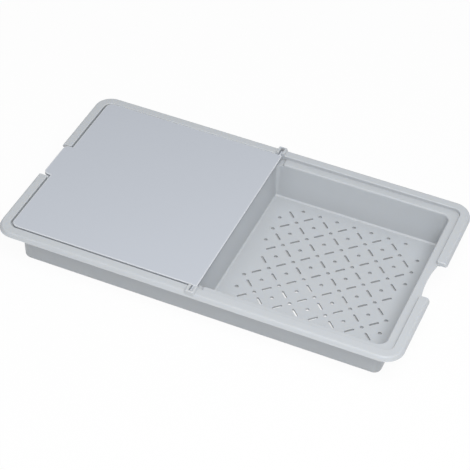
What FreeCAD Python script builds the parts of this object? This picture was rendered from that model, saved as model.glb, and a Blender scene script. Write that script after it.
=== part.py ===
"""Two-basin kitchen tray with a flip-over cutting board.

The tray is one moulding: a rim flange with a turned-down lip, a stepped ledge, two basins
with a low partition between them, a finger notch at each end and two open-topped bearings
at mid-length. The board lies on the ledge and turns over about two stub pins that sit in
the bearings. Base at z = 0, X along the tray, Y across it, origin at the middle of the base.
"""
import FreeCAD
import Part

import math
import os

import Sketcher

V = FreeCAD.Vector

DIMENSIONS = {
    # rim flange and turned-down lip
    "rim_height": 55.5,
    "rim_half_length": 247.5,
    "rim_half_width": 143.5,
    "rim_corner": 21.0,
    "rim_edge_round": 3.0,
    "lip_drop": 5.5,
    "lip_flare": 2.5,
    "skin": 2.0,
    # step down from the rim to the ledge
    "rim_band_end": 10.5,
    "rim_band_side": 11.0,
    "recess_corner": 10.5,
    "recess_depth": 4.5,
    "recess_chamfer": 0.7,
    # ledge and basins
    "ledge_width": 11.0,
    "opening_corner": 10.5,
    "opening_round": 2.2,
    "wall_thickness": 2.0,
    "wall_draft": 3.9,
    "floor_thickness": 2.6,
    "floor_chamfer": 1.6,
    "base_round": 5.0,
    # partition between the basins
    "partition_top_half": 1.2,
    "partition_corner": 3.0,
    "partition_groove_end": 0.4,
    # well along the hinge line
    "well_half_length": 8.5,
    "well_depth": 3.0,
    "well_corner": 3.0,
    # bearings and pins
    "bearing_half_length": 5.0,
    "bearing_foot_flare": 1.2,
    "bearing_rise": 2.8,
    "bearing_overhang": 1.5,
    "bearing_end_wall": 2.2,
    "bearing_corner": 1.4,
    "bearing_mouth": 0.7,
    "bearing_chamfer": 0.5,
    "pin_diameter": 4.0,
    "pin_running_gap": 0.08,
    "pin_end_gap": 3.2,
    "pin_root": 3.0,
    "pin_end_chamfer": 0.6,
    # cutting board
    "board_thickness": 4.2,
    "board_end_gap": 2.4,
    "board_side_gap": 1.5,
    "board_side_shift": 1.1,
    "board_overhang": 3.3,
    "board_corner": 8.8,
    "board_hinge_corner": 2.0,
    "board_chamfer": 0.6,
    "tab_half_width": 29.5,
    "tab_reach": 10.2,
    "tab_corner": 6.8,
    # finger notches
    "notch_half_width": 31.5,
    "notch_inset": 1.0,
    "notch_sagitta": 3.2,
    "notch_corner": 2.0,
    "notch_outer_corner": 3.0,
    # drain lattice in the floor of the right basin
    "drain_partition_margin": 20.5,
    "drain_end_margin": 18.7,
    "drain_side_margin": 15.1,
    "drain_dot_diameter": 4.8,
    "drain_slot_width": 3.0,
    "drain_slot_length": 13.2,
    "drain_cut_margin": 0.5,
}

# Heights above the base, as expressions on the sheet.
RIM_TOP = "sizes.rim_height"
LIP_FOOT = f"{RIM_TOP} - sizes.lip_drop"
LEDGE_TOP = f"{RIM_TOP} - sizes.recess_depth"
LEDGE_UNDER = f"{LEDGE_TOP} - sizes.skin"
WELL_FLOOR = f"{LEDGE_TOP} - sizes.well_depth"
AXIS_HEIGHT = f"{LEDGE_TOP} + sizes.board_thickness / 2"
BEARING_TOP = f"{RIM_TOP} + sizes.bearing_rise"
FLOOR_TOP = "sizes.floor_thickness"
CUTTER_TOP = f"{FLOOR_TOP} + sizes.drain_cut_margin"
BASE = "0"

# Draft of the basins' walls and slant of the lip, as expressions on the sheet.
DRAFT_SLOPE = "tan(sizes.wall_draft * 1 deg)"
BASIN_DEPTH = f"({LEDGE_TOP} - ({FLOOR_TOP}))"
LEAN = f"{BASIN_DEPTH} * {DRAFT_SLOPE}"
LIP_ANGLE = "atan(sizes.lip_flare / sizes.lip_drop)"

# Half sizes of the main outlines, as expressions on the sheet.
RECESS_X = "(sizes.rim_half_length - sizes.rim_band_end)"
RECESS_Y = "(sizes.rim_half_width - sizes.rim_band_side)"
OPENING_X = f"({RECESS_X} - sizes.ledge_width)"
OPENING_Y = f"({RECESS_Y} - sizes.ledge_width)"
BOARD_X = f"({RECESS_X} - sizes.board_end_gap)"
BOARD_Y = f"({RECESS_Y} - sizes.board_side_gap)"
BEARING_OUTER_Y = "(sizes.rim_half_width + sizes.bearing_overhang)"
BEARING_END_Y = f"({BEARING_OUTER_Y} - sizes.bearing_end_wall)"
PIN_END_Y = f"({BEARING_END_Y} - sizes.pin_end_gap)"
NOTCH_SHELF_X = f"({RECESS_X} + sizes.notch_sagitta + sizes.skin)"

# The drain lattice has this many columns along the tray and rows across it.
DRAIN_COLUMNS = 9
DRAIN_ROWS = 10
# Rows of the dots that the two end columns keep, in two groups of three.
SIDE_GROUP_STARTS = (1, 6)
SIDE_GROUP_COUNT = 3
# Flats round a dot and round a slot's end, which keep both round to about 0.2 mm.
DOT_FLATS = 10
SLOT_END_FLATS = 3


def partition_half(height):
    """Expression for half the partition's thickness at a height, from its draft."""
    return f"sizes.partition_top_half + ({WELL_FLOOR} - ({height})) * {DRAFT_SLOPE}"


# Extent of the drain lattice on the basin's floor, and its steps both ways.
DRAIN_NEAR_X = f"({partition_half(FLOOR_TOP)} + sizes.drain_partition_margin)"
DRAIN_FAR_X = f"({OPENING_X} - {LEAN} - sizes.drain_end_margin)"
DRAIN_HALF_Y = f"({OPENING_Y} - {LEAN} - sizes.drain_side_margin)"
DRAIN_STEP_X = f"({DRAIN_FAR_X} - {DRAIN_NEAR_X}) / {DRAIN_COLUMNS - 1}"
DRAIN_STEP_Y = f"2 * {DRAIN_HALF_Y} / {DRAIN_ROWS - 1}"


def make_sheet(doc):
    """Writes every driving dimension into a sheet called sizes."""
    sheet = doc.addObject("Spreadsheet::Sheet", "sizes")
    for row, (alias, value) in enumerate(DIMENSIONS.items(), start=1):
        sheet.set(f"A{row}", alias)
        sheet.set(f"B{row}", str(value))
        sheet.setAlias(f"B{row}", alias)
    doc.recompute()


def number(owner, expression):
    """Works out an expression on the sheet as a plain number."""
    value = owner.evalExpression(expression)
    return float(getattr(value, "Value", value))


def origin_feature(body, role):
    """Returns the body's own origin plane or axis with this role."""
    for feature in body.Origin.OriginFeatures:
        if feature.Role == role:
            return feature
    raise ValueError(f"{body.Label} has no {role}")


def make_body(doc, label):
    """Adds an empty body whose label names the sub-part."""
    body = doc.addObject("PartDesign::Body", label)
    body.Label = label
    return body


def add_sketch(body, name, plane, height, across=None, along=None, turn=None):
    """Adds a sketch on an origin plane of the body, raised along the plane's normal.

    Its own origin can be shifted across and along the plane, and turned in it.
    """
    sketch = body.newObject("Sketcher::SketchObject", name)
    sketch.AttachmentSupport = [(origin_feature(body, plane), "")]
    sketch.MapMode = "FlatFace"
    sketch.setExpression("AttachmentOffset.Base.z", height)
    if across is not None:
        sketch.setExpression("AttachmentOffset.Base.x", across)
    if along is not None:
        sketch.setExpression("AttachmentOffset.Base.y", along)
    if turn is not None:
        sketch.setExpression("AttachmentOffset.Rotation.Angle", turn)
    return sketch


def fix(sketch, kind, *geometry):
    """Adds a geometric constraint to the sketch."""
    sketch.addConstraint(Sketcher.Constraint(kind, *geometry))


def bind(sketch, name, expression, kind, *geometry):
    """Adds a dimension to the sketch and ties it to an expression on the sheet."""
    value = number(sketch, expression)
    index = sketch.addConstraint(Sketcher.Constraint(kind, *geometry, value))
    sketch.renameConstraint(index, name)
    sketch.setExpression(f"Constraints.{name}", expression)


def bind_side(sketch, name, expression, kind, line):
    """Ties a line's distance from the origin, on whichever side of it the line lies."""
    if number(sketch, expression) < 0:
        bind(sketch, name, f"-({expression})", kind, line, 1, -1, 1)
    else:
        bind(sketch, name, expression, kind, -1, 1, line, 1)


def line(x0, y0, x1, y1):
    """A straight piece of an outline."""
    return Part.LineSegment(V(x0, y0, 0), V(x1, y1, 0))


def arc(x, y, radius, start, end):
    """A round piece of an outline, anticlockwise between two angles in degrees."""
    circle = Part.Circle(V(x, y, 0), V(0, 0, 1), radius)
    return Part.ArcOfCircle(circle, math.radians(start), math.radians(end))


def draw(sketch, pieces):
    """Adds a closed outline to a sketch.

    Each piece is its geometry, the kind of joint to the next piece, and whether the
    outline runs along it backwards. Level and upright lines are kept so.
    """
    count = len(pieces)
    for geometry, _, _ in pieces:
        sketch.addGeometry(geometry, False)
    for index, (geometry, joint, backwards) in enumerate(pieces):
        following = (index + 1) % count
        leaving = 1 if backwards else 2
        entering = 2 if pieces[following][2] else 1
        fix(sketch, joint, index, leaving, following, entering)
        if isinstance(geometry, Part.LineSegment):
            level = abs(geometry.StartPoint.y - geometry.EndPoint.y) < 1e-9
            fix(sketch, "Horizontal" if level else "Vertical", index)


def draw_flats(sketch, points):
    """Adds a closed outline of straight pieces through these points."""
    count = len(points)
    for index, (x, y) in enumerate(points):
        following = points[(index + 1) % count]
        sketch.addGeometry(line(x, y, *following), False)
    for index in range(count):
        fix(sketch, "Coincident", index, 2, (index + 1) % count, 1)


def flats_round(x, radius, start, end, flats):
    """Points of a round that is made of equal flats, both ends among them."""
    turns = [start + (end - start) * step / flats for step in range(flats + 1)]
    return [(x + radius * math.cos(math.radians(turn)), radius * math.sin(math.radians(turn)))
            for turn in turns]


def rounded_box(body, name, height, low_x, high_x, half_y, low_corner, high_corner):
    """Draws a rounded rectangle on a level plane, even about the X axis.

    Its two corners at low X share one radius and its two corners at high X another.
    """
    sketch = add_sketch(body, name, "XY_Plane", height)
    x0, x1, y1 = (number(sketch, text) for text in (low_x, high_x, half_y))
    r0, r1 = (number(sketch, text) for text in (low_corner, high_corner))
    draw(sketch, (
        (line(x0 + r0, -y1, x1 - r1, -y1), "Tangent", False),
        (arc(x1 - r1, -y1 + r1, r1, -90, 0), "Tangent", False),
        (line(x1, -y1 + r1, x1, y1 - r1), "Tangent", False),
        (arc(x1 - r1, y1 - r1, r1, 0, 90), "Tangent", False),
        (line(x1 - r1, y1, x0 + r0, y1), "Tangent", False),
        (arc(x0 + r0, y1 - r0, r0, 90, 180), "Tangent", False),
        (line(x0, y1 - r0, x0, -y1 + r0), "Tangent", False),
        (arc(x0 + r0, -y1 + r0, r0, 180, 270), "Tangent", False),
    ))
    fix(sketch, "Equal", 1, 3)
    fix(sketch, "Equal", 5, 7)
    bind(sketch, "high_corner", high_corner, "Radius", 1)
    bind(sketch, "low_corner", low_corner, "Radius", 5)
    bind_side(sketch, "front", f"-({half_y})", "DistanceY", 0)
    bind_side(sketch, "high_x", high_x, "DistanceX", 2)
    bind_side(sketch, "back", half_y, "DistanceY", 4)
    bind_side(sketch, "low_x", low_x, "DistanceX", 6)
    return sketch


def even_box(body, name, height, half_x, half_y, corner):
    """Draws a rounded rectangle on a level plane, centred on the origin."""
    return rounded_box(body, name, height, f"-({half_x})", half_x, half_y, corner, corner)


def plain_box(body, name, plane, height, low_x, high_x, low_y, high_y):
    """Draws a sharp-cornered rectangle on a plane."""
    sketch = add_sketch(body, name, plane, height)
    x0, x1, y0, y1 = (number(sketch, text) for text in (low_x, high_x, low_y, high_y))
    draw(sketch, (
        (line(x0, y0, x1, y0), "Coincident", False),
        (line(x1, y0, x1, y1), "Coincident", False),
        (line(x1, y1, x0, y1), "Coincident", False),
        (line(x0, y1, x0, y0), "Coincident", False),
    ))
    bind_side(sketch, "low_y", low_y, "DistanceY", 0)
    bind_side(sketch, "high_x", high_x, "DistanceX", 1)
    bind_side(sketch, "high_y", high_y, "DistanceY", 2)
    bind_side(sketch, "low_x", low_x, "DistanceX", 3)
    return sketch


def add_cutter(body, name, sketch):
    """Adds a drain hole's form, which reaches past both faces of the basin's floor."""
    pad = add_pad(body, name, sketch, f"{FLOOR_TOP} + 2 * sizes.drain_cut_margin", True)
    pad.Refine = False
    return pad


def add_pad(body, name, sketch, length, backwards=False, taper=None):
    """Adds material from a sketch along its normal, or against it.

    A positive taper widens the outline with distance, a negative one narrows it.
    """
    pad = body.newObject("PartDesign::Pad", name)
    pad.Profile = (sketch, [""])
    pad.setExpression("Length", length)
    pad.Reversed = backwards
    if taper is not None:
        pad.setExpression("TaperAngle", taper)
    return pad


def add_pocket(body, name, sketch, length, backwards=False, taper=None):
    """Cuts a sketch against its normal, or along it (backwards), with a taper as above."""
    pocket = body.newObject("PartDesign::Pocket", name)
    pocket.Profile = (sketch, [""])
    pocket.setExpression("Length", length)
    pocket.Reversed = backwards
    if taper is not None:
        pocket.setExpression("TaperAngle", taper)
    return pocket


def add_mirror(body, name, plane, originals):
    """Repeats features on the other side of an origin plane."""
    mirror = body.newObject("PartDesign::Mirrored", name)
    mirror.Originals = originals
    mirror.MirrorPlane = (origin_feature(body, plane), [""])
    body.Tip = mirror
    return mirror


def add_grid(body, name, original, columns, column_step, rows, row_step):
    """Repeats a feature along +X and towards the front."""
    grid = body.newObject("PartDesign::LinearPattern", name)
    grid.Originals = [original]
    grid.Refine = False
    grid.Direction = (origin_feature(body, "X_Axis"), [""])
    grid.setExpression("Length", f"{columns - 1} * {column_step}")
    grid.Occurrences = columns
    grid.Direction2 = (origin_feature(body, "Y_Axis"), [""])
    grid.Reversed2 = True
    grid.setExpression("Length2", f"{rows - 1} * {row_step}")
    grid.Occurrences2 = rows
    body.Tip = grid
    return grid


def add_dress(body, kind, name, size, chosen):
    """Rounds or chamfers the edges of the body so far that the chooser accepts."""
    body.Document.recompute()
    base = body.Tip
    names = []
    for index, edge in enumerate(base.Shape.Edges, start=1):
        if chosen(edge):
            names.append(f"Edge{index}")
    if not names:
        raise ValueError(f"{name} finds no edge")
    dress = body.newObject(f"PartDesign::{kind}", name)
    dress.Base = (base, names)
    dress.setExpression("Size" if kind == "Chamfer" else "Radius", size)
    return dress


def lies_at(edge, height, tolerance=1e-4):
    """Says whether an edge lies level at a height."""
    box = edge.BoundBox
    return abs(box.ZMin - height) < tolerance and abs(box.ZMax - height) < tolerance


def reach(edge):
    """Returns how far from the X = 0 and Y = 0 planes an edge's middle lies."""
    middle = edge.valueAt((edge.FirstParameter + edge.LastParameter) / 2)
    return abs(middle.x), abs(middle.y)


def make_rim(body):
    """Rim flange: a thin plate with a flared, turned-down lip, hollow underneath."""
    rim = even_box(body, "rim_outline", RIM_TOP,
                   "sizes.rim_half_length", "sizes.rim_half_width", "sizes.rim_corner")
    add_pad(body, "rim_form", rim, "sizes.lip_drop", True, LIP_ANGLE)
    top = number(body, RIM_TOP)
    add_dress(body, "Fillet", "rim_edge", "sizes.rim_edge_round",
              lambda edge: lies_at(edge, top))
    hollow = even_box(body, "hollow_outline", LIP_FOOT,
                      "sizes.rim_half_length + sizes.lip_flare - sizes.skin",
                      "sizes.rim_half_width + sizes.lip_flare - sizes.skin",
                      "sizes.rim_corner + sizes.lip_flare - sizes.skin")
    add_pocket(body, "rim_hollow", hollow, "sizes.lip_drop - sizes.skin", True,
               f"-{LIP_ANGLE}")


def make_ledge_and_shell(body):
    """Thick forms of the ledge, the well and the basins, before they are hollowed."""
    ledge = even_box(body, "ledge_outline", LEDGE_UNDER,
                     f"{RECESS_X} + sizes.skin",
                     f"{RECESS_Y} + sizes.skin",
                     "sizes.recess_corner + sizes.skin")
    add_pad(body, "ledge_form", ledge, "sizes.recess_depth + sizes.skin / 2")
    well = plain_box(body, "well_outline", "XY_Plane", f"{WELL_FLOOR} - sizes.skin",
                     "-(sizes.well_half_length + sizes.skin)",
                     "sizes.well_half_length + sizes.skin",
                     f"-({RECESS_Y} + sizes.skin)",
                     f"{RECESS_Y} + sizes.skin")
    add_pad(body, "well_form", well, "sizes.well_depth + sizes.skin / 2")
    shelf = plain_box(body, "notch_shelf_outline", "XY_Plane", LEDGE_UNDER,
                      OPENING_X, NOTCH_SHELF_X,
                      "-(sizes.notch_half_width + sizes.notch_corner)",
                      "sizes.notch_half_width + sizes.notch_corner")
    pad = add_pad(body, "notch_shelf", shelf, "sizes.skin")
    add_mirror(body, "notch_shelves", "YZ_Plane", [pad])
    shell = even_box(body, "shell_outline", LEDGE_TOP,
                     f"{OPENING_X} + sizes.wall_thickness",
                     f"{OPENING_Y} + sizes.wall_thickness",
                     "sizes.opening_corner + sizes.wall_thickness")
    add_pad(body, "shell_form", shell, LEDGE_TOP, True, "-(sizes.wall_draft)")
    add_dress(body, "Fillet", "base_edge", "sizes.base_round",
              lambda edge: lies_at(edge, 0.0))


def make_recess(body):
    """Recess for the board and the raised rim's openings at the two finger notches."""
    outline = even_box(body, "recess_outline", RIM_TOP,
                       RECESS_X, RECESS_Y,
                       "sizes.recess_corner")
    add_pocket(body, "recess", outline, "sizes.recess_depth")
    sketch = add_sketch(body, "notch_outline", "XY_Plane", RIM_TOP)
    names = (OPENING_X, RECESS_X, "sizes.rim_half_length + sizes.lip_flare",
             "sizes.notch_half_width", "sizes.notch_corner")
    inner, step, outer, half, corner = (number(sketch, name) for name in names)
    draw(sketch, (
        (line(inner, -half - corner, step, -half - corner), "Perpendicular", False),
        (arc(step + corner, -half - corner, corner, 90, 180), "Tangent", True),
        (line(step + corner, -half, outer, -half), "Coincident", False),
        (line(outer, -half, outer, half), "Coincident", False),
        (line(outer, half, step + corner, half), "Tangent", False),
        (arc(step + corner, half + corner, corner, 180, 270), "Perpendicular", True),
        (line(step, half + corner, inner, half + corner), "Coincident", False),
        (line(inner, half + corner, inner, -half - corner), "Coincident", False),
    ))
    bind_side(sketch, "front_end", f"-({names[3]})", "DistanceY", 2)
    bind_side(sketch, "back_end", names[3], "DistanceY", 4)
    bind_side(sketch, "outer", names[2], "DistanceX", 3)
    bind_side(sketch, "inner", names[0], "DistanceX", 7)
    bind(sketch, "front_corner", names[4], "Radius", 1)
    bind(sketch, "back_corner", names[4], "Radius", 5)
    bind(sketch, "front_step", names[1], "DistanceX", -1, 1, 0, 2)
    bind(sketch, "back_step", names[1], "DistanceX", -1, 1, 6, 1)
    cut = add_pocket(body, "notch_mouth", sketch, "sizes.recess_depth")
    add_mirror(body, "notch_mouths", "YZ_Plane", [cut])


def make_notch_walls(body):
    """Walls that close the hollow flange where it ends beside a finger notch."""
    texts = {
        "inner": f"{RECESS_X} + sizes.skin / 2",
        "foot": "sizes.rim_half_length + sizes.lip_flare - sizes.skin / 2",
        "head": "sizes.rim_half_length - sizes.skin / 2"
                " + sizes.skin / 2 * sizes.lip_flare / sizes.lip_drop",
        "low": LIP_FOOT,
        "high": f"{RIM_TOP} - sizes.skin / 2",
    }
    walls = []
    for name, distance in (("front", "sizes.notch_half_width"),
                           ("back", "-(sizes.notch_half_width + sizes.skin)")):
        sketch = add_sketch(body, f"{name}_wall_outline", "XZ_Plane", distance)
        inner, foot, head, low, high = (number(sketch, text) for text in texts.values())
        draw_flats(sketch, ((inner, low), (foot, low), (head, high), (inner, high)))
        fix(sketch, "Horizontal", 0)
        fix(sketch, "Horizontal", 2)
        fix(sketch, "Vertical", 3)
        for key, kind, index, point in (
                ("inner", "DistanceX", 0, 1), ("foot", "DistanceX", 1, 1),
                ("head", "DistanceX", 2, 1), ("low", "DistanceY", 0, 1),
                ("high", "DistanceY", 2, 1)):
            bind(sketch, key, texts[key], kind, -1, 1, index, point)
        walls.append(add_pad(body, f"{name}_wall", sketch, "sizes.skin"))
    add_mirror(body, "notch_walls", "YZ_Plane", walls)


def make_notch_gaps(body):
    """Finger gaps through the flange.

    Each has a shallow arc for its inner edge and leaves the lip's ends rounded.
    """
    sketch = add_sketch(body, "gap_outline", "XY_Plane", LEDGE_TOP)
    radius_text = ("(sizes.notch_half_width ^ 2 + sizes.notch_sagitta ^ 2)"
                   " / (2 * sizes.notch_sagitta)")
    centre_text = f"{RECESS_X} - sizes.notch_inset + {radius_text}"
    turn_text = "sizes.rim_half_length + sizes.lip_flare - sizes.notch_outer_corner"
    outer_text = "sizes.rim_half_length + sizes.lip_flare + sizes.skin"
    radius, centre, turn, outer = (number(sketch, text) for text in (
        radius_text, centre_text, turn_text, outer_text))
    half = number(sketch, "sizes.notch_half_width")
    corner = number(sketch, "sizes.notch_outer_corner")
    sweep = math.degrees(math.asin(half / radius))
    inner = centre - radius * math.cos(math.radians(sweep))
    wide = half + corner
    draw(sketch, (
        (line(inner, -half, turn, -half), "Tangent", False),
        (arc(turn, -wide, corner, 0, 90), "Perpendicular", True),
        (line(turn + corner, -wide, outer, -wide), "Coincident", False),
        (line(outer, -wide, outer, wide), "Coincident", False),
        (line(outer, wide, turn + corner, wide), "Perpendicular", False),
        (arc(turn, wide, corner, 270, 360), "Tangent", True),
        (line(turn, half, inner, half), "Coincident", False),
        (arc(centre, 0, radius, 180 - sweep, 180 + sweep), "Coincident", False),
    ))
    bind_side(sketch, "front_end", "-(sizes.notch_half_width)", "DistanceY", 0)
    bind_side(sketch, "outer", outer_text, "DistanceX", 3)
    bind_side(sketch, "back_end", "sizes.notch_half_width", "DistanceY", 6)
    for name, index in (("front", 1), ("back", 5)):
        bind(sketch, f"{name}_corner", "sizes.notch_outer_corner", "Radius", index)
        bind(sketch, f"{name}_turn", turn_text, "DistanceX", -1, 1, index, 3)
    fix(sketch, "PointOnObject", 7, 3, -1)
    bind(sketch, "arc_radius", radius_text, "Radius", 7)
    bind(sketch, "arc_centre", centre_text, "DistanceX", -1, 1, 7, 3)
    cut = add_pocket(body, "notch_gap", sketch, "sizes.rim_height")
    add_mirror(body, "notch_gaps", "YZ_Plane", [cut])


def make_basins(body):
    """The two drafted basins; the partition is what they leave between them."""
    mouth = rounded_box(body, "basin_mouth", LEDGE_TOP,
                        partition_half(LEDGE_TOP), OPENING_X, OPENING_Y,
                        f"sizes.partition_corner + {LEAN}", "sizes.opening_corner")
    cut = add_pocket(body, "basin", mouth, BASIN_DEPTH, False, "-(sizes.wall_draft)")
    add_mirror(body, "basins", "YZ_Plane", [cut])
    floor = number(body, FLOOR_TOP)
    add_dress(body, "Chamfer", "floor_edge", "sizes.floor_chamfer",
              lambda edge: lies_at(edge, floor))


def make_well(body):
    """Well along the hinge line, where the board's edge swings below the ledge."""
    outline = plain_box(body, "well_mouth", "XY_Plane", LEDGE_TOP,
                        "-(sizes.well_half_length)", "sizes.well_half_length",
                        f"-{RECESS_Y}", RECESS_Y)
    add_pocket(body, "well", outline, "sizes.well_depth")
    side = number(body, "sizes.well_half_length")
    bottom, top = number(body, WELL_FLOOR), number(body, LEDGE_TOP)
    step = number(body, RECESS_Y)

    def corner(edge):
        box = edge.BoundBox
        upright = abs(box.ZMin - bottom) < 1e-4 and abs(box.ZMax - top) < 1e-4
        return upright and abs(reach(edge)[0] - side) < 1e-4 and reach(edge)[1] < step - 1

    add_dress(body, "Fillet", "well_corners", "sizes.well_corner", corner)


def make_ledge_edges(body):
    """Rounds the basins' mouths and breaks the edge of the step up to the rim."""
    ledge, rim = number(body, LEDGE_TOP), number(body, RIM_TOP)
    mouth_x, mouth_y = number(body, OPENING_X), number(body, OPENING_Y)
    step_x = number(body, RECESS_X)
    step_y = number(body, RECESS_Y)
    corner = number(body, "sizes.notch_corner")

    def on_mouth(edge):
        x, y = reach(edge)
        return lies_at(edge, ledge) and x < mouth_x + 1e-4 and y < mouth_y + 1e-4

    def on_step(edge):
        x, y = reach(edge)
        return lies_at(edge, rim) and x < step_x + corner and y < step_y + 1e-4

    add_dress(body, "Fillet", "mouth_edges", "sizes.opening_round", on_mouth)
    add_dress(body, "Chamfer", "step_edges", "sizes.recess_chamfer", on_step)


def bearing_outline(body, name, distance, bottom):
    """Draws a bearing's section, whose flanks flare from its top down to the rim."""
    sketch = add_sketch(body, name, "XZ_Plane", distance)
    foot_text = "sizes.bearing_half_length + sizes.bearing_foot_flare"
    half, foot, low, rim, top = (number(sketch, text) for text in (
        "sizes.bearing_half_length", foot_text, bottom, RIM_TOP, BEARING_TOP))
    draw_flats(sketch, ((-foot, low), (foot, low), (foot, rim), (half, top), (-half, top),
                        (-foot, rim)))
    for level in (0, 3):
        fix(sketch, "Horizontal", level)
    for upright in (1, 5):
        fix(sketch, "Vertical", upright)
    bind(sketch, "low", bottom, "DistanceY", -1, 1, 0, 1)
    bind(sketch, "foot_right", foot_text, "DistanceX", -1, 1, 1, 1)
    bind(sketch, "foot_left", foot_text, "DistanceX", 0, 1, -1, 1)
    bind(sketch, "rim_right", RIM_TOP, "DistanceY", -1, 1, 1, 2)
    bind(sketch, "rim_left", RIM_TOP, "DistanceY", -1, 1, 5, 1)
    bind(sketch, "top", BEARING_TOP, "DistanceY", -1, 1, 3, 1)
    bind(sketch, "top_right", "sizes.bearing_half_length", "DistanceX", -1, 1, 3, 1)
    bind(sketch, "top_left", "sizes.bearing_half_length", "DistanceX", 3, 2, -1, 1)
    return sketch


def make_bearings(body):
    """Two open-topped bearings on the rim, one at each end of the hinge line.

    Each stands out past the rim a little and runs out into the slant of the lip.
    """
    root = bearing_outline(body, "bearing_root_outline", RECESS_Y, WELL_FLOOR)
    blocks = [add_pad(body, "bearing_root", root, "sizes.rim_band_side")]
    run_out = f"{RIM_TOP} - sizes.bearing_overhang * sizes.lip_drop / sizes.lip_flare"
    nose = bearing_outline(body, "bearing_nose_outline", "sizes.rim_half_width", run_out)
    blocks.append(add_pad(body, "bearing_nose", nose, "sizes.bearing_overhang"))
    sketch = add_sketch(body, "bearing_slot_outline", "XZ_Plane", BEARING_END_Y)
    radius_text = "sizes.pin_diameter / 2 + sizes.pin_running_gap"
    open_text = f"{BEARING_TOP} + sizes.bearing_rise"
    radius, axis, top = (number(sketch, text)
                         for text in (radius_text, AXIS_HEIGHT, open_text))
    draw(sketch, (
        (arc(0, axis, radius, 180, 360), "Tangent", False),
        (line(radius, axis, radius, top), "Coincident", False),
        (line(radius, top, -radius, top), "Coincident", False),
        (line(-radius, top, -radius, axis), "Tangent", False),
    ))
    fix(sketch, "PointOnObject", 0, 3, -2)
    bind(sketch, "bore", radius_text, "Radius", 0)
    bind(sketch, "axis", AXIS_HEIGHT, "DistanceY", -1, 1, 0, 3)
    bind(sketch, "top", open_text, "DistanceY", -1, 1, 2, 1)
    slot = add_pocket(body, "bearing_slot", sketch,
                      f"{BEARING_END_Y} - {RECESS_Y} + sizes.board_side_gap / 2")
    add_mirror(body, "bearings", "XZ_Plane", blocks + [slot])
    rise, half = number(body, BEARING_TOP), number(body, "sizes.bearing_half_length")
    rim, outer = number(body, RIM_TOP), number(body, BEARING_OUTER_Y)

    def on_corner(edge):
        x, y = reach(edge)
        upright = edge.BoundBox.ZLength > (rise - rim) / 2
        return upright and x > half - 1e-4 and abs(y - outer) < 1e-4

    def on_slot(edge):
        return lies_at(edge, rise) and abs(reach(edge)[0] - radius) < 1e-4

    def on_outside(edge):
        return lies_at(edge, rise) and abs(reach(edge)[0] - half) < 1e-4

    add_dress(body, "Fillet", "bearing_corners", "sizes.bearing_corner", on_corner)
    add_dress(body, "Chamfer", "bearing_mouths", "sizes.bearing_mouth", on_slot)
    add_dress(body, "Chamfer", "bearing_edges", "sizes.bearing_chamfer", on_outside)


def make_partition_groove(body):
    """Groove under the partition, which keeps its wall as thin as the others."""
    sketch = add_sketch(body, "groove_outline", "XZ_Plane", BASE)
    foot_text = f"{partition_half(BASE)} - sizes.wall_thickness"
    end_text = "sizes.partition_groove_end"
    top_text = f"({foot_text} - {end_text}) / {DRAFT_SLOPE}"
    foot, end, top = (number(sketch, text) for text in (foot_text, end_text, top_text))
    draw_flats(sketch, ((-foot, 0), (foot, 0), (end, top), (-end, top)))
    fix(sketch, "Horizontal", 2)
    fix(sketch, "PointOnObject", 0, 1, -1)
    bind(sketch, "foot_right", foot_text, "DistanceX", -1, 1, 0, 2)
    bind(sketch, "foot_left", foot_text, "DistanceX", 0, 1, -1, 1)
    fix(sketch, "PointOnObject", 0, 2, -1)
    bind(sketch, "end_right", end_text, "DistanceX", -1, 1, 2, 1)
    bind(sketch, "end_left", end_text, "DistanceX", 2, 2, -1, 1)
    bind(sketch, "top", top_text, "DistanceY", -1, 1, 2, 1)
    groove = add_pocket(body, "partition_groove", sketch,
                        f"2 * ({OPENING_Y} - {LEAN} - sizes.base_round)")
    groove.SideType = "Symmetric"


def drain_across(column):
    """Expression for a lattice column's place along the tray."""
    return f"{DRAIN_NEAR_X} + {column} * {DRAIN_STEP_X}"


def drain_along(row):
    """Expression for a lattice row's place across the tray, the first row at the back."""
    return f"{DRAIN_HALF_Y} - {row} * {DRAIN_STEP_Y}"


def add_round_guide(sketch, name, place, radius):
    """Adds a construction circle on the sketch's X axis and returns its index."""
    across, size = number(sketch, place), number(sketch, radius)
    index = sketch.addGeometry(Part.Circle(V(across, 0, 0), V(0, 0, 1), size), True)
    bind(sketch, f"{name}_radius", radius, "Radius", index)
    fix(sketch, "PointOnObject", index, 3, -1)
    if across < 0:
        bind(sketch, f"{name}_place", f"-({place})", "DistanceX", index, 3, -1, 1)
    else:
        bind(sketch, f"{name}_place", place, "DistanceX", -1, 1, index, 3)
    return index


def make_drain_dots(body):
    """Round drain holes: full inner columns, and part of the two end columns."""
    last = DRAIN_COLUMNS - 1
    blocks = [(1, 0, last - 1, 1, DRAIN_ROWS)]
    for start in SIDE_GROUP_STARTS:
        blocks.append((0, start, 2, last, SIDE_GROUP_COUNT))
    for index, (column, row, columns, stride, rows) in enumerate(blocks):
        sketch = add_sketch(body, f"dot_outline_{index}", "XY_Plane", CUTTER_TOP,
                            drain_across(column), drain_along(row))
        radius = number(sketch, "sizes.drain_dot_diameter") / 2
        draw_flats(sketch, flats_round(0, radius, 0, 360, DOT_FLATS)[:-1])
        guide = add_round_guide(sketch, "dot", "0", "sizes.drain_dot_diameter / 2")
        fix(sketch, "PointOnObject", 0, 1, -1)
        for flat in range(DOT_FLATS):
            fix(sketch, "PointOnObject", flat, 1, guide)
            if flat > 0:
                fix(sketch, "Equal", 0, flat)
        dot = add_cutter(body, f"dot_{index}", sketch)
        add_grid(body, f"dots_{index}", dot, columns, f"{stride} * {DRAIN_STEP_X}",
                 rows, DRAIN_STEP_Y)


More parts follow.
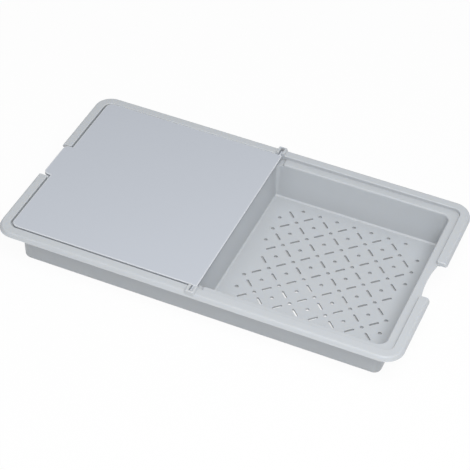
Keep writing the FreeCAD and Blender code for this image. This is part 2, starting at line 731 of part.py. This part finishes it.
def make_drain_slots(body):
    """Slots between the dots, which turn the other way from each cell to the next.

    The cell in the back corner at the far end has no slot.
    """
    blocks = (
        (0, 0, 4, 5, -1),
        (1, 1, 4, 4, -1),
        (0, 1, 4, 4, 1),
        (1, 0, 3, 5, 1),
        (7, 2, 1, 4, 1),
    )
    angle = f"atan(({DRAIN_STEP_Y}) / ({DRAIN_STEP_X}))"
    radius_text = "sizes.drain_slot_width / 2"
    reach_text = "(sizes.drain_slot_length - sizes.drain_slot_width) / 2"
    for index, (column, row, columns, rows, lean) in enumerate(blocks):
        sketch = add_sketch(body, f"slot_outline_{index}", "XY_Plane", CUTTER_TOP,
                            drain_across(column + 0.5), drain_along(row + 0.5),
                            f"{lean} * {angle}")
        radius, half = number(sketch, radius_text), number(sketch, reach_text)
        draw_flats(sketch, flats_round(half, radius, -90, 90, SLOT_END_FLATS)
                   + flats_round(-half, radius, 90, 270, SLOT_END_FLATS))
        guides = (add_round_guide(sketch, "right", reach_text, radius_text),
                  add_round_guide(sketch, "left", f"-({reach_text})", radius_text))
        for guide, first in zip(guides, (0, SLOT_END_FLATS + 1)):
            for flat in range(first, first + SLOT_END_FLATS + 1):
                fix(sketch, "PointOnObject", flat, 1, guide)
            for flat in range(first + 1, first + SLOT_END_FLATS):
                fix(sketch, "Equal", first, flat)
            fix(sketch, "Vertical", first, 1, guide, 3)
            fix(sketch, "Vertical", first + SLOT_END_FLATS, 1, guide, 3)
        slot = add_cutter(body, f"slot_{index}", sketch)
        add_grid(body, f"slots_{index}", slot, columns, f"2 * {DRAIN_STEP_X}",
                 rows, f"2 * {DRAIN_STEP_Y}")


def make_tray(doc):
    """The one-piece tray."""
    body = make_body(doc, "tray_body")
    make_rim(body)
    make_notch_walls(body)
    make_ledge_and_shell(body)
    make_recess(body)
    make_notch_gaps(body)
    make_basins(body)
    make_well(body)
    make_ledge_edges(body)
    make_bearings(body)
    make_partition_groove(body)
    drain = make_body(doc, "drain_holes")
    drain.AllowCompound = True
    make_drain_dots(drain)
    make_drain_slots(drain)
    cut = body.newObject("PartDesign::Boolean", "drain_lattice")
    cut.Type = "Cut"
    cut.Group = [drain]
    cut.Refine = False
    return body


def make_board(doc):
    """Cutting board with a finger tab at one end and a stub pin at each side.

    It lies a little towards the back within its play between the rim's sides.
    """
    body = make_body(doc, "cutting_board")
    body.setExpression("Placement.Base.y", "sizes.board_side_shift")
    plate = rounded_box(body, "plate_outline", LEDGE_TOP, f"-({BOARD_X})",
                        "sizes.board_overhang", BOARD_Y, "sizes.board_corner",
                        "sizes.board_hinge_corner")
    add_pad(body, "plate", plate, "sizes.board_thickness")
    tab = rounded_box(body, "tab_outline", LEDGE_TOP,
                      f"-({BOARD_X} + sizes.tab_reach)", f"-({BOARD_X} - sizes.tab_reach)",
                      "sizes.tab_half_width", "sizes.tab_corner", "sizes.tab_corner")
    add_pad(body, "tab", tab, "sizes.board_thickness")
    low = number(body, LEDGE_TOP)
    high = low + number(body, "sizes.board_thickness")
    add_dress(body, "Chamfer", "board_edges", "sizes.board_chamfer",
              lambda edge: lies_at(edge, low) or lies_at(edge, high))
    sketch = add_sketch(body, "pin_outline", "XZ_Plane", f"{BOARD_Y} - sizes.pin_root")
    radius, axis = (number(sketch, text) for text in ("sizes.pin_diameter / 2", AXIS_HEIGHT))
    sketch.addGeometry(Part.Circle(V(0, axis, 0), V(0, 0, 1), radius), False)
    fix(sketch, "PointOnObject", 0, 3, -2)
    bind(sketch, "radius", "sizes.pin_diameter / 2", "Radius", 0)
    bind(sketch, "axis", AXIS_HEIGHT, "DistanceY", -1, 1, 0, 3)
    pin = add_pad(body, "pin", sketch, f"{PIN_END_Y} - {BOARD_Y} + sizes.pin_root")
    add_mirror(body, "pins", "XZ_Plane", [pin])
    tip = number(body, PIN_END_Y)
    add_dress(body, "Chamfer", "pin_ends", "sizes.pin_end_chamfer",
              lambda edge: abs(reach(edge)[1] - tip) < 1e-4
              and edge.BoundBox.YLength < 1e-4)
    return body


def check_objects(doc, bodies):
    """Stops if any object failed or any sub-part is not one valid solid."""
    for item in doc.Objects:
        if "Invalid" in item.State or "Error" in item.State:
            raise RuntimeError(f"{item.Name} failed: {item.State}")
    for body in bodies:
        shape = body.Shape
        if shape.isNull() or not shape.isValid() or len(shape.Solids) != 1:
            raise RuntimeError(f"{body.Label} is not one valid solid")


def main():
    """Builds the document and writes one STEP file for each sub-part."""
    doc = FreeCAD.newDocument("tray_with_board")
    make_sheet(doc)
    bodies = [make_tray(doc), make_board(doc)]
    doc.recompute()
    check_objects(doc, bodies)
    os.makedirs("parts", exist_ok=True)
    for body in bodies:
        body.Shape.exportStep(f"parts/{body.Label}.step")
        print(f"{body.Label}: {body.Shape.Volume:.0f} mm3, {len(body.Shape.Faces)} faces")


if __name__ == "__main__":
    main()
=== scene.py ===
"""Looks of a two-basin kitchen tray with a flip-over cutting board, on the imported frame.

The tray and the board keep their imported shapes. This script gives them their moulded
plastics, and adds the floor, the studio light and the camera.
"""

import logging
import math
from dataclasses import dataclass, field
from enum import Enum

import bpy
from mathutils import Matrix, Vector


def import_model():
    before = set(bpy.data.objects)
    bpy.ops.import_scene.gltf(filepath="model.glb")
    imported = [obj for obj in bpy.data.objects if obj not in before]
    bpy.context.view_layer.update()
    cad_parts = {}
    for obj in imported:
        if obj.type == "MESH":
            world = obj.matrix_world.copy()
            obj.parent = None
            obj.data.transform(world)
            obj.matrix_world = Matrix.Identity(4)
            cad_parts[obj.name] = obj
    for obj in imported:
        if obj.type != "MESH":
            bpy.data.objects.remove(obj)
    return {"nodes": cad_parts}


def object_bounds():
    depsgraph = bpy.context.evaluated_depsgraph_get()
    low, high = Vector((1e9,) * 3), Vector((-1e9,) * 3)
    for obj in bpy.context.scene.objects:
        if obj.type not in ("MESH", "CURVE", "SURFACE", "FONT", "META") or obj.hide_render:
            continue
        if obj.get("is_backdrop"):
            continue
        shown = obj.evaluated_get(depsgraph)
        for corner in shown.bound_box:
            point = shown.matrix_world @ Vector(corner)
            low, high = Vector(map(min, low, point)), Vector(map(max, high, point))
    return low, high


LOG = logging.getLogger("kitchen_tray")
MM = 0.001

Colour = tuple[float, float, float]
WHITE: Colour = (1.0, 1.0, 1.0)

# Places of the Mix node's sockets for colours, whose names repeat.
MIX_LOW, MIX_HIGH, MIX_RESULT = 6, 7, 2


@dataclass(frozen=True)
class NoiseKind:
    """How many finer layers a noise has, and how strong they are."""

    detail: float
    roughness: float


GRAIN_NOISE = NoiseKind(detail=2.0, roughness=0.55)
RIPPLE_NOISE = NoiseKind(detail=1.0, roughness=0.4)
CLOUD_NOISE = NoiseKind(detail=3.0, roughness=0.6)
CLOUD_TO_RIPPLE = 3.5
GRAIN_IN_MOTTLE = 0.35
CLOUD_IN_MOTTLE = 0.65

# The edge mask below places a painted highlight on convex edges.
EDGE_SAMPLES = 4
EDGE_GAIN = 10.0
# The crease mask below places painted shade in creases and hollows.
CREASE_SAMPLES = 8
CREASE_GAIN = 2.0

# How far a normal may rise before its face is less than a whole side, and none at all.
SIDE_LEAN_FULL = 0.15
SIDE_LEAN_NONE = 0.40


class Mask(Enum):
    """What a surface mask is worked out from."""

    EDGES = "edges"
    CREASES = "creases"
    SIDES = "sides"


@dataclass(frozen=True)
class PlasticFinish:
    """A moulded plastic: its colours, its sheen and the scale of its surface.

    Lengths are in metres, colours are linear. The sides are upright faces up to side_top,
    and they and the creases get painted shade. The pale edges are a painted highlight,
    and crease_guard says how strongly a crease keeps them out.
    """

    name: str
    colour: Colour
    edge_highlight_colour: Colour
    painted_shade_colour: Colour
    roughness: float
    roughness_spread: float
    grain_size: float
    grain_height: float
    ripple_size: float
    ripple_height: float
    tone_spread: float
    edge_width: float
    edge_strength: float
    crease_reach: float
    crease_strength: float
    specular: float
    side_strength: float
    side_top: float = 1.0
    crease_guard: float = 3.0
    soft_depth: float = 0.0
    soft_share: float = 0.0
    soft_spread: Colour = (1.0, 0.86, 0.68)


TRAY_FINISH = PlasticFinish(
    name="tray_plastic",
    colour=(0.545, 0.572, 0.601),
    # A painted highlight on the edges.
    edge_highlight_colour=(0.700, 0.730, 0.760),
    # Painted shade, used in creases and on low upright faces.
    painted_shade_colour=(0.345, 0.352, 0.356),
    roughness=0.42,
    roughness_spread=0.07,
    grain_size=0.45 * MM,
    grain_height=0.012 * MM,
    ripple_size=22.0 * MM,
    ripple_height=0.035 * MM,
    tone_spread=0.018,
    edge_width=0.55 * MM,
    edge_strength=0.70,
    crease_reach=28.0 * MM,
    crease_strength=0.30,
    specular=0.42,
    side_strength=0.35,
    side_top=2.5 * MM,
    soft_depth=1.5 * MM,
    soft_share=0.20,
)

BOARD_FINISH = PlasticFinish(
    name="board_plastic",
    colour=(0.530, 0.562, 0.618),
    # A painted highlight on the edges.
    edge_highlight_colour=(0.860, 0.880, 0.900),
    # Painted shade, used in creases and on the board's sides.
    painted_shade_colour=(0.200, 0.210, 0.225),
    roughness=0.55,
    roughness_spread=0.05,
    grain_size=0.60 * MM,
    grain_height=0.022 * MM,
    ripple_size=35.0 * MM,
    ripple_height=0.030 * MM,
    tone_spread=0.014,
    edge_width=1.8 * MM,
    edge_strength=0.90,
    crease_reach=4.0 * MM,
    crease_strength=0.08,
    specular=0.32,
    side_strength=0.50,
)


class NodeGraph:
    """A node tree with short ways to add and join nodes."""

    def __init__(self, tree: bpy.types.NodeTree) -> None:
        """Takes over a tree and empties it.

        Args:
            tree: The node tree of a material, a world or a group.
        """
        self.tree = tree
        self.tree.nodes.clear()

    def add(self, kind: str, **settings: object) -> bpy.types.Node:
        """Adds a node and sets its properties.

        Args:
            kind: The node's type name.
            settings: Property names and values.

        Returns:
            The new node.
        """
        node = self.tree.nodes.new(kind)
        for key, value in settings.items():
            setattr(node, key, value)
        return node

    def join(self, source: bpy.types.NodeSocket, target: bpy.types.NodeSocket) -> None:
        """Links an output socket to an input socket."""
        self.tree.links.new(source, target)

    def feed(self, value: object, target: bpy.types.NodeSocket) -> None:
        """Gives an input its value, which is a socket to link or a constant.

        Args:
            value: An output socket, a number or a colour.
            target: The input socket.
        """
        if isinstance(value, bpy.types.NodeSocket):
            self.join(value, target)
        else:
            target.default_value = value

    def math(self, operation: str, first: object, second: object = 0.0,
             third: object = 0.0, clamp: bool = False) -> bpy.types.NodeSocket:
        """Adds a Math node.

        Args:
            operation: The node's operation.
            first: Its first input.
            second: Its second input.
            third: Its third input.
            clamp: Whether the result stays between 0 and 1.

        Returns:
            The node's output.
        """
        node = self.add("ShaderNodeMath", operation=operation, use_clamp=clamp)
        for value, target in zip((first, second, third), node.inputs):
            self.feed(value, target)
        return node.outputs[0]

    def blend(self, share: object, low: object, high: object) -> bpy.types.NodeSocket:
        """Mixes two colours.

        Args:
            share: How much of the second colour is used.
            low: The first colour.
            high: The second colour.

        Returns:
            The mixed colour.
        """
        node = self.add("ShaderNodeMix", data_type="RGBA")
        self.feed(share, node.inputs["Factor"])
        for value, place in ((low, MIX_LOW), (high, MIX_HIGH)):
            self.feed((*value, 1.0) if isinstance(value, tuple) else value,
                      node.inputs[place])
        return node.outputs[MIX_RESULT]


class GroupShelf:
    """Builds each shared node group once and hands it out."""

    def __init__(self) -> None:
        """Starts with no group built."""
        self.made: dict[str, bpy.types.NodeTree] = {}

    @staticmethod
    def _open(name: str, inputs: dict[str, float], outputs: tuple[str, ...]) -> tuple[
            NodeGraph, bpy.types.Node, bpy.types.Node]:
        """Opens a new group with float sockets.

        Args:
            name: The group's name.
            inputs: Input names and their default values.
            outputs: Output names.

        Returns:
            The group's graph, its input node and its output node.
        """
        tree = bpy.data.node_groups.new(name, "ShaderNodeTree")
        for label, value in inputs.items():
            socket = tree.interface.new_socket(
                name=label, in_out="INPUT", socket_type="NodeSocketFloat")
            socket.default_value = value
        for label in outputs:
            tree.interface.new_socket(
                name=label, in_out="OUTPUT", socket_type="NodeSocketFloat")
        graph = NodeGraph(tree)
        return graph, graph.add("NodeGroupInput"), graph.add("NodeGroupOutput")

    def moulded_skin(self) -> bpy.types.NodeTree:
        """Builds the spark-eroded grain and the slow ripple of a moulded face.

        Returns:
            A group that puts out a height in metres and a mottle from 0 to 1.
        """
        if "moulded_skin" not in self.made:
            graph, given, result = self._open(
                "moulded_skin",
                {"Grain Size": 0.5 * MM, "Grain Height": 0.01 * MM,
                 "Ripple Size": 20.0 * MM, "Ripple Height": 0.03 * MM},
                ("Height", "Mottle"))
            place = graph.add("ShaderNodeTexCoord").outputs["Object"]
            grain = self._noise(graph, place, given.outputs["Grain Size"], GRAIN_NOISE)
            ripple = self._noise(graph, place, given.outputs["Ripple Size"], RIPPLE_NOISE)
            grain_height = graph.math("MULTIPLY", grain, given.outputs["Grain Height"])
            ripple_height = graph.math("MULTIPLY", ripple, given.outputs["Ripple Height"])
            graph.join(graph.math("ADD", grain_height, ripple_height),
                       result.inputs["Height"])
            cloud_size = graph.math(
                "MULTIPLY", given.outputs["Ripple Size"], CLOUD_TO_RIPPLE)
            cloud = self._noise(graph, place, cloud_size, CLOUD_NOISE)
            cloud_part = graph.math("MULTIPLY", cloud, CLOUD_IN_MOTTLE)
            graph.join(graph.math("MULTIPLY_ADD", grain, GRAIN_IN_MOTTLE, cloud_part),
                       result.inputs["Mottle"])
            self.made["moulded_skin"] = graph.tree
        return self.made["moulded_skin"]

    @staticmethod
    def _noise(graph: NodeGraph, place: bpy.types.NodeSocket, size: bpy.types.NodeSocket,
               kind: NoiseKind) -> bpy.types.NodeSocket:
        """Adds a noise whose features have a size in metres.

        Args:
            graph: The graph to add to.
            place: Where the surface is.
            size: The size of a feature.
            kind: Its finer layers.

        Returns:
            The noise, from 0 to 1.
        """
        noise = graph.add("ShaderNodeTexNoise", noise_dimensions="3D")
        graph.join(place, noise.inputs["Vector"])
        graph.join(graph.math("DIVIDE", 1.0, size), noise.inputs["Scale"])
        noise.inputs["Detail"].default_value = kind.detail
        noise.inputs["Roughness"].default_value = kind.roughness
        return noise.outputs["Fac"]

    def surface_mask(self, kind: Mask) -> bpy.types.NodeTree:
        """Builds a mask of a form's edges, its creases or its upright sides.

        Args:
            kind: Which of the three is masked.

        Returns:
            A group with a reach in metres and a strength, that puts out a mask.
        """
        name = f"{kind.value}_mask"
        if name not in self.made:
            graph, given, result = self._open(
                name, {"Reach": 1.0 * MM, "Strength": 1.0}, ("Mask",))
            if kind is Mask.EDGES:
                raw = self._edge_raw(graph, given)
            elif kind is Mask.CREASES:
                raw = self._crease_raw(graph, given)
            else:
                raw = self._side_raw(graph, given)
            graph.join(graph.math("MULTIPLY", raw, given.outputs["Strength"], clamp=True),
                       result.inputs["Mask"])
            self.made[name] = graph.tree
        return self.made[name]

    @staticmethod
    def _edge_raw(graph: NodeGraph, given: bpy.types.Node) -> bpy.types.NodeSocket:
        """Works out how far a rounded normal turns away from the face's own.

        Args:
            graph: The group's graph.
            given: Its input node.

        Returns:
            A mask that is 0 on flats and rises on edges.
        """
        bevel = graph.add("ShaderNodeBevel", samples=EDGE_SAMPLES)
        graph.join(given.outputs["Reach"], bevel.inputs["Radius"])
        own = graph.add("ShaderNodeNewGeometry")
        dot = graph.add("ShaderNodeVectorMath", operation="DOT_PRODUCT")
        graph.join(bevel.outputs["Normal"], dot.inputs[0])
        graph.join(own.outputs["Normal"], dot.inputs[1])
        turned = graph.math("SUBTRACT", 1.0, dot.outputs["Value"], clamp=True)
        return graph.math("MULTIPLY", turned, EDGE_GAIN, clamp=True)

    @staticmethod
    def _crease_raw(graph: NodeGraph, given: bpy.types.Node) -> bpy.types.NodeSocket:
        """Works out how much of the near surroundings covers a point.

        Args:
            graph: The group's graph.
            given: Its input node.

        Returns:
            A mask that is 0 in the open and rises in creases.
        """
        cover = graph.add(
            "ShaderNodeAmbientOcclusion", samples=CREASE_SAMPLES, only_local=True)
        graph.join(given.outputs["Reach"], cover.inputs["Distance"])
        covered = graph.math("SUBTRACT", 1.0, cover.outputs["AO"], clamp=True)
        return graph.math("MULTIPLY", covered, CREASE_GAIN, clamp=True)

    @staticmethod
    def _side_raw(graph: NodeGraph, given: bpy.types.Node) -> bpy.types.NodeSocket:
        """Works out how upright a face stands in its own piece, up to a height.

        Args:
            graph: The group's graph.
            given: Its input node, whose reach is the height.

        Returns:
            A mask that is 1 on upright faces and 0 on flat, chamfered and higher ones.
        """
        here = graph.add("ShaderNodeTexCoord")
        own = graph.add("ShaderNodeSeparateXYZ")
        graph.join(here.outputs["Normal"], own.inputs[0])
        place = graph.add("ShaderNodeSeparateXYZ")
        graph.join(here.outputs["Object"], place.inputs[0])
        lean = graph.math("ABSOLUTE", own.outputs["Z"])
        fade = SIDE_LEAN_NONE - SIDE_LEAN_FULL
        upright = graph.math(
            "MULTIPLY_ADD", lean, -1.0 / fade, SIDE_LEAN_NONE / fade, clamp=True)
        low = graph.math("LESS_THAN", place.outputs["Z"], given.outputs["Reach"])
        return graph.math("MULTIPLY", upright, low)


@dataclass
class PlasticMaker:
    """Turns a finish into a material, with the shared node groups."""

    shelf: GroupShelf = field(default_factory=GroupShelf)

    def _place_group(self, graph: NodeGraph, tree: bpy.types.NodeTree,
                     values: dict[str, float]) -> bpy.types.Node:
        """Places a shared group in a material.

        Args:
            graph: The material's graph.
            tree: The group.
            values: The group's inputs for this material.

        Returns:
            The group node.
        """
        node = graph.add("ShaderNodeGroup", node_tree=tree)
        for label, value in values.items():
            node.inputs[label].default_value = value
        return node

    def make(self, finish: PlasticFinish) -> bpy.types.Material:
        """Builds the material of a finish.

        Args:
            finish: The plastic to build.

        Returns:
            The finished material.
        """
        material = bpy.data.materials.new(finish.name)
        material.use_nodes = True
        graph = NodeGraph(material.node_tree)
        output = graph.add("ShaderNodeOutputMaterial")
        plastic = graph.add("ShaderNodeBsdfPrincipled")
        graph.join(plastic.outputs["BSDF"], output.inputs["Surface"])
        skin = self._place_group(graph, self.shelf.moulded_skin(), {
            "Grain Size": finish.grain_size, "Grain Height": finish.grain_height,
            "Ripple Size": finish.ripple_size, "Ripple Height": finish.ripple_height})
        edges = self._place_group(graph, self.shelf.surface_mask(Mask.EDGES), {
            "Reach": finish.edge_width, "Strength": finish.edge_strength})
        creases = self._place_group(graph, self.shelf.surface_mask(Mask.CREASES), {
            "Reach": finish.crease_reach, "Strength": finish.crease_strength})
        sides = self._place_group(graph, self.shelf.surface_mask(Mask.SIDES), {
            "Reach": finish.side_top, "Strength": finish.side_strength})
        self._colour(graph, finish, plastic, skin, edges, creases, sides)
        spread = graph.math("MULTIPLY_ADD", skin.outputs["Mottle"],
                            2 * finish.roughness_spread,
                            finish.roughness - finish.roughness_spread, clamp=True)
        graph.join(spread, plastic.inputs["Roughness"])
        # The heights are in metres already, so the bump keeps them as they are.
        bump = graph.add("ShaderNodeBump")
        bump.inputs["Strength"].default_value = 1.0
        bump.inputs["Distance"].default_value = 1.0
        graph.join(skin.outputs["Height"], bump.inputs["Height"])
        graph.join(bump.outputs["Normal"], plastic.inputs["Normal"])
        plastic.inputs["Specular IOR Level"].default_value = finish.specular
        if finish.soft_share > 0:
            plastic.inputs["Subsurface Weight"].default_value = finish.soft_share
            plastic.inputs["Subsurface Scale"].default_value = finish.soft_depth
            plastic.inputs["Subsurface Radius"].default_value = finish.soft_spread
        return material

    @staticmethod
    def _colour(graph: NodeGraph, finish: PlasticFinish, plastic: bpy.types.Node,
                skin: bpy.types.Node, edges: bpy.types.Node,
                creases: bpy.types.Node, sides: bpy.types.Node) -> None:
        """Joins the colour of a plastic: mottled flats, a painted highlight on the edges,
        and painted shade in creases and on sides.

        Args:
            graph: The material's graph.
            finish: The plastic that is built.
            plastic: The shader that takes the colour.
            skin: The placed grain group.
            edges: The placed edge mask, for the painted highlight.
            creases: The placed crease mask, for painted shade.
            sides: The placed side mask, for painted shade.
        """
        dark = tuple(value * (1 - finish.tone_spread) for value in finish.colour)
        pale = tuple(value * (1 + finish.tone_spread) for value in finish.colour)
        flats = graph.blend(skin.outputs["Mottle"], dark, pale)
        # Painted shade on upright faces up to side_top: all of the board's sides, and the
        # tray's lowest faces with its drain hole walls.
        side_shaded = graph.blend(sides.outputs["Mask"], flats, finish.painted_shade_colour)
        # Painted shade in creases, worked out from ambient occlusion.
        shaded = graph.blend(creases.outputs["Mask"], side_shaded, finish.painted_shade_colour)
        open_share = graph.math(
            "MULTIPLY_ADD", creases.outputs["Mask"], -finish.crease_guard, 1.0, clamp=True)
        edge_share = graph.math("MULTIPLY", edges.outputs["Mask"], open_share)
        # A painted highlight on the convex edges, kept out of the creases.
        edge_highlighted = graph.blend(edge_share, shaded, finish.edge_highlight_colour)
        graph.join(edge_highlighted, plastic.inputs["Base Color"])


@dataclass
class MouldedPiece:
    """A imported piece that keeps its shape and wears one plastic."""

    node: str
    slot: str
    finish: PlasticFinish

    def dress(self, nodes: dict[str, bpy.types.Object],
              maker: PlasticMaker) -> bpy.types.Object:
        """Puts the piece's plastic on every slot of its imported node.

        Args:
            nodes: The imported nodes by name.
            maker: The maker of materials.

        Returns:
            The dressed piece.
        """
        piece = nodes[self.node]
        material = maker.make(self.finish)
        for slot in piece.material_slots:
            slot.link = "OBJECT"
            slot.material = material
        LOG.info("%s wears %s", piece.name, material.name)
        return piece


@dataclass
class Tray(MouldedPiece):
    """The one-piece tray."""

    node: str = "tray_body"
    slot: str = "tray_plastic"
    finish: PlasticFinish = TRAY_FINISH


@dataclass
class CuttingBoard(MouldedPiece):
    """The board with its finger tab and its two stub pins."""

    node: str = "cutting_board"
    slot: str = "board_plastic"
    finish: PlasticFinish = BOARD_FINISH


def direction(turn: float, rise: float) -> Vector:
    """Points from the object towards a place round it.

    Args:
        turn: The angle from the front, towards the right, in radians.
        rise: The angle above the floor, in radians.

    Returns:
        A vector of length 1.
    """
    return Vector((math.sin(turn) * math.cos(rise), -math.cos(turn) * math.cos(rise),
                   math.sin(rise)))


@dataclass
class Lamp:
    """A soft round lamp that hangs round the object. Its angles are in degrees."""

    name: str
    azimuth: float
    elevation: float
    distance: float
    size: float
    power: float
    colour: Colour = WHITE

    def hang(self, target: Vector) -> None:
        """Hangs the lamp so that it faces a point.

        Args:
            target: The point it faces.
        """
        light = bpy.data.lights.new(self.name, "AREA")
        light.shape = "DISK"
        light.size = self.size
        light.energy = self.power
        light.color = self.colour
        lamp = bpy.data.objects.new(self.name, light)
        away = direction(math.radians(self.azimuth), math.radians(self.elevation))
        lamp.location = target + away * self.distance
        lamp.rotation_euler = away.to_track_quat("Z", "Y").to_euler()
        bpy.context.scene.collection.objects.link(lamp)
        LOG.info("%s hangs", lamp.name)


@dataclass
class Studio:
    """Pale floor, even surroundings and soft lamps.

    The floor has a painted shadow where the tray covers it, apart from a painted pool of
    light, the gleam, under the drain slots.
    """

    floor_half: float = 6.0
    floor_drop: float = 0.05 * MM
    floor_colour: Colour = (0.86, 0.86, 0.86)
    floor_paper: float = 0.95
    # A painted shadow on the floor under the tray.
    painted_shadow_colour: Colour = (0.46, 0.47, 0.48)
    covered_paper: float = 0.0
    covered_half: tuple[float, float] = (216.0 * MM, 111.5 * MM)
    covered_fade: float = 4.0 * MM
    # A painted pool of light on the floor under the drain slots.
    gleam_place: tuple[float, float, float] = (102.0 * MM, -74.0 * MM, 0.0)
    gleam_near: float = 16.0 * MM
    gleam_far: float = 75.0 * MM
    gleam_share: float = 0.80
    surround: float = 0.50
    seen_white: float = 1.0
    lamps: tuple[Lamp, ...] = (
        Lamp(name="key_lamp", azimuth=34.0, elevation=57.0, distance=1.75,
             size=1.0, power=23.0),
    )

    def build(self, target: Vector) -> None:
        """Builds the floor, the surroundings and the lamps.

        Args:
            target: The middle of the object, which the lamps face.
        """
        self._lay_floor()
        self._set_world()
        for lamp in self.lamps:
            lamp.hang(target)
        bpy.context.scene.view_settings.view_transform = "Standard"

    def _lay_floor(self) -> None:
        """Lays the floor just under the object, white paper that keeps a shadow."""
        half = self.floor_half
        mesh = bpy.data.meshes.new("studio_floor")
        corners = [(-half, -half, 0), (half, -half, 0), (half, half, 0), (-half, half, 0)]
        mesh.from_pydata(corners, [], [(0, 1, 2, 3)])
        floor = bpy.data.objects.new("studio_floor", mesh)
        floor.location.z = -self.floor_drop
        bpy.context.scene.collection.objects.link(floor)
        material = bpy.data.materials.new("studio_paper")
        material.use_nodes = True
        graph = NodeGraph(material.node_tree)
        output = graph.add("ShaderNodeOutputMaterial")
        covered = self._covered(graph)
        matt = graph.add("ShaderNodeBsdfDiffuse")
        # The floor's colour darkens under the tray: a painted shadow.
        graph.join(graph.blend(covered, self.floor_colour, self.painted_shadow_colour),
                   matt.inputs["Color"])
        glow = graph.add("ShaderNodeEmission")
        graph.feed((*WHITE, 1.0), glow.inputs["Color"])
        glow.inputs["Strength"].default_value = self.seen_white
        # Less white paper under the tray, for the painted shadow, and more again at the
        # painted pool of light.
        paper = graph.math(
            "MULTIPLY_ADD", covered, self.covered_paper - self.floor_paper, self.floor_paper)
        share = graph.math("MULTIPLY", self._seen_rays(graph), paper)
        mix = graph.add("ShaderNodeMixShader")
        graph.join(share, mix.inputs[0])
        graph.join(matt.outputs[0], mix.inputs[1])
        graph.join(glow.outputs[0], mix.inputs[2])
        graph.join(mix.outputs[0], output.inputs["Surface"])
        mesh.materials.append(material)
        floor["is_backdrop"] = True

    def _covered(self, graph: NodeGraph) -> bpy.types.NodeSocket:
        """Finds the part of the floor that the tray keeps the light from.

        Args:
            graph: The floor's graph.

        Returns:
            A mask that is 1 under the tray, fades out towards its walls, falls towards
            the gleam under the drain slots, and is 0 from below.
        """
        here = graph.add("ShaderNodeNewGeometry")
        place = graph.add("ShaderNodeSeparateXYZ")
        graph.join(here.outputs["Position"], place.inputs[0])
        masks = []
        for axis, half in enumerate(self.covered_half):
            inside = graph.math(
                "SUBTRACT", half, graph.math("ABSOLUTE", place.outputs[axis]))
            masks.append(graph.math("DIVIDE", inside, self.covered_fade, clamp=True))
        apart = graph.add("ShaderNodeVectorMath", operation="DISTANCE")
        graph.join(here.outputs["Position"], apart.inputs[0])
        apart.inputs[1].default_value = self.gleam_place
        # The gleam, a painted pool of light under the drain slots, eases the painted shadow
        # there.
        past_gleam = graph.math("SUBTRACT", apart.outputs["Value"], self.gleam_near)
        outside = graph.math(
            "DIVIDE", past_gleam, self.gleam_far - self.gleam_near, clamp=True)
        masks.append(graph.math(
            "MULTIPLY_ADD", outside, self.gleam_share, 1.0 - self.gleam_share))
        masks.append(graph.math("SUBTRACT", 1.0, here.outputs["Backfacing"]))
        covered = masks[0]
        for mask in masks[1:]:
            covered = graph.math("MULTIPLY", covered, mask)
        return covered

    @staticmethod
    def _seen_rays(graph: NodeGraph) -> bpy.types.NodeSocket:
        """Tells the rays that see the surroundings from those that light the object.

        Args:
            graph: The material's graph.

        Returns:
            A mask that is 1 for camera, glossy and transmission rays.
        """
        path = graph.add("ShaderNodeLightPath")
        mirror = graph.math("MAXIMUM", path.outputs["Is Glossy Ray"],
                            path.outputs["Is Transmission Ray"])
        return graph.math("MAXIMUM", path.outputs["Is Camera Ray"], mirror)

    def _set_world(self) -> None:
        """Sets even surroundings, white where they are seen."""
        world = bpy.data.worlds.new("studio_surround")
        bpy.context.scene.world = world
        world.use_nodes = True
        graph = NodeGraph(world.node_tree)
        output = graph.add("ShaderNodeOutputWorld")
        lit = graph.add("ShaderNodeBackground")
        lit.inputs["Strength"].default_value = self.surround
        white = graph.add("ShaderNodeBackground")
        white.inputs["Strength"].default_value = self.seen_white
        mix = graph.add("ShaderNodeMixShader")
        graph.join(self._seen_rays(graph), mix.inputs[0])
        graph.join(lit.outputs[0], mix.inputs[1])
        graph.join(white.outputs[0], mix.inputs[2])
        graph.join(mix.outputs[0], output.inputs["Surface"])


@dataclass
class ViewCamera:
    """A camera that looks down at the tray from its front right.

    Its angles are in degrees, and its focal length is in pixels of a square frame.
    """

    azimuth: float = 20.063
    elevation: float = 41.509
    roll: float = 4.218
    distance: float = 2.01291
    aim: tuple[float, float, float] = (8.387 * MM, -30.732 * MM, 55.5 * MM)
    focal_pixels: float = 1719.28
    frame_pixels: float = 470.0
    sensor: float = 36.0
    far_end: float = 50.0

    def place(self) -> None:
        """Makes the camera and sets it as the scene's own."""
        turn, rise, roll = (math.radians(angle)
                            for angle in (self.azimuth, self.elevation, self.roll))
        back = direction(turn, rise)
        level = (-back).cross(Vector((0, 0, 1))).normalized()
        upright = level.cross(-back)
        right = level * math.cos(roll) + upright * math.sin(roll)
        top = upright * math.cos(roll) - level * math.sin(roll)
        data = bpy.data.cameras.new("view_camera")
        data.sensor_width = self.sensor
        data.lens = self.focal_pixels / self.frame_pixels * self.sensor
        data.clip_end = self.far_end
        camera = bpy.data.objects.new("view_camera", data)
        pose = Matrix((right, top, back)).transposed().to_4x4()
        pose.translation = Vector(self.aim) + back * self.distance
        camera.matrix_world = pose
        bpy.context.scene.collection.objects.link(camera)
        bpy.context.scene.camera = camera


def as_lists(box: tuple[Vector, Vector]) -> list[list[float]]:
    """Turns a box's two corners into plain lists of numbers."""
    return [[round(value, 6) for value in corner] for corner in box]


def main() -> None:
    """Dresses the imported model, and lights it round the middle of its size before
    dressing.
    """
    logging.basicConfig(level=logging.INFO, format="%(name)s: %(message)s")
    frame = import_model()
    packed_box = as_lists(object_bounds())
    maker = PlasticMaker()
    for assembly in (Tray(), CuttingBoard()):
        piece = assembly.dress(frame["nodes"], maker)
    low, high = (Vector(corner) for corner in packed_box)
    Studio().build((low + high) / 2)
    ViewCamera().place()
    LOG.info("size file written")


if __name__ == "__main__":
    main()
